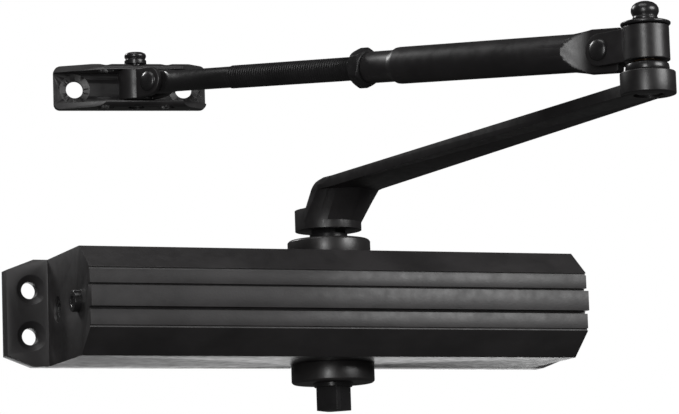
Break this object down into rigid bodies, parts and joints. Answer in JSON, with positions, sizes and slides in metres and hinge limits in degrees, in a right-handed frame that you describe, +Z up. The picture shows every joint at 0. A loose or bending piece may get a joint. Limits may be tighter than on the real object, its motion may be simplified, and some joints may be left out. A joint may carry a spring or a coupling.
{
  "type": "door closer",
  "caption": "Surface-mounted hydraulic door closer: grooved body with rack and pinion, forged main arm and adjustable forearm with a frame shoe.",
  "frame": {"origin": "centre of the four body screw holes, on the body's mounting face", "axes": "+X along the body, +Y out of the mounting face towards the door or frame it is screwed to, +Z up along the spindle towards the arm"},
  "size_m": [0.251, 0.2593, 0.151],
  "materials": {
    "body_black": "fine textured black powder coat",
    "cap_black": "satin black paint",
    "arm_black": "satin black paint",
    "shoe_black": "satin black paint",
    "hardware_black": "black oxide, semi-gloss",
    "rod_black": "black plated thread",
    "spindle_black": "black oxide steel",
    "ground_steel": "ground steel, oiled",
    "spring_steel": "oil-tempered spring wire",
    "bronze": "sintered bronze",
    "seal_rubber": "nitrile rubber",
    "piston_ring": "filled nylon ring"
  },
  "bodies": {
    "body": {"body_casting": "body_black", "end_plug": "hardware_black", "plug_seal": "seal_rubber", "top_bearing_cap": "cap_black", "bottom_bearing_cap": "cap_black", "top_bearing": "bronze", "bottom_bearing": "bronze", "top_shaft_seal": "seal_rubber", "bottom_shaft_seal": "seal_rubber", "main_spring": "spring_steel"},
    "sweep_valve_body": {"sweep_valve": "hardware_black", "sweep_valve_seal": "seal_rubber"},
    "latch_valve_body": {"latch_valve": "hardware_black", "latch_valve_seal": "seal_rubber"},
    "power_screw_body": {"power_screw": "hardware_black"},
    "follower_body": {"spring_follower": "ground_steel"},
    "piston_body": {"piston": "ground_steel", "piston_seals": "piston_ring", "check_ball": "ground_steel"},
    "spindle_arm": {"pinion_shaft": "spindle_black", "main_arm": "arm_black", "arm_screw": "hardware_black", "arm_washer": "hardware_black", "elbow_stud": "hardware_black", "elbow_spacer": "hardware_black", "elbow_washer": "hardware_black", "elbow_nut": "hardware_black"},
    "knuckle": {"elbow_knuckle": "arm_black", "elbow_bush": "bronze", "tube_rivet": "hardware_black"},
    "tube": {"forearm_tube": "arm_black", "lock_nut": "hardware_black"},
    "rod": {"threaded_rod": "rod_black"},
    "swivel": {"swivel_block": "arm_black", "rod_rivet": "hardware_black"},
    "shoe": {"shoe_bracket": "shoe_black", "shoe_bolt": "hardware_black"}
  },
  "joints": [
    {"name": "spindle_turn", "type": "hinge", "parent": "body", "child": "spindle_arm", "pos_m": [0.011, -0.0205, 0], "axis": [0, 0, -1], "range_deg": [0, 165], "stiffness_Nm_per_rad": 4, "springref_deg": -68.75},
    {"name": "piston_slide", "type": "slide", "parent": "body", "child": "piston_body", "axis": [-1, 0, 0], "range_m": [0, 0.01944], "deforming": ["main_spring"]},
    {"name": "power_screw_turn", "type": "hinge", "parent": "body", "child": "power_screw_body", "pos_m": [-0.108, -0.0205, 0], "axis": [-1, 0, 0], "range_deg": [0, 1080]},
    {"name": "follower_slide", "type": "slide", "parent": "body", "child": "follower_body", "axis": [-1, 0, 0], "range_m": [0, 0.0045]},
    {"name": "sweep_valve_turn", "type": "hinge", "parent": "body", "child": "sweep_valve_body", "pos_m": [-0.108, -0.05, 0], "axis": [-1, 0, 0], "range_deg": [-360, 360]},
    {"name": "latch_valve_turn", "type": "hinge", "parent": "body", "child": "latch_valve_body", "pos_m": [0.108, -0.05, 0], "axis": [1, 0, 0], "range_deg": [-360, 360]},
    {"name": "elbow_turn", "type": "hinge", "parent": "spindle_arm", "child": "knuckle", "pos_m": [0.052, -0.24173, 0.0738], "axis": [0, 0, 1], "range_deg": [-12, 140]},
    {"name": "elbow_tilt", "type": "hinge", "parent": "knuckle", "child": "tube", "pos_m": [0.04363, -0.22557, 0.0738], "axis": [-0.8879, -0.4601, 0], "range_deg": [-8, 8]},
    {"name": "forearm_length", "type": "slide", "parent": "tube", "child": "rod", "axis": [-0.4581, 0.884, 0.0927], "range_m": [-0.015, 0.02]},
    {"name": "shoe_tilt", "type": "hinge", "parent": "rod", "child": "swivel", "pos_m": [-0.06308, -0.01965, 0.0954], "axis": [-0.8879, -0.4601, 0], "range_deg": [-6, 6]},
    {"name": "shoe_turn", "type": "hinge", "parent": "swivel", "child": "shoe", "pos_m": [-0.0686, -0.009, 0.0954], "axis": [0, 0, 1], "range_deg": [-15, 85]}
  ],
  "couplings": [
    {"joint": "piston_slide", "follows": "spindle_turn", "m_per_rad": 0.00675},
    {"joint": "power_screw_turn", "follows": "follower_slide", "rad_per_m": 4188.8}
  ]
}
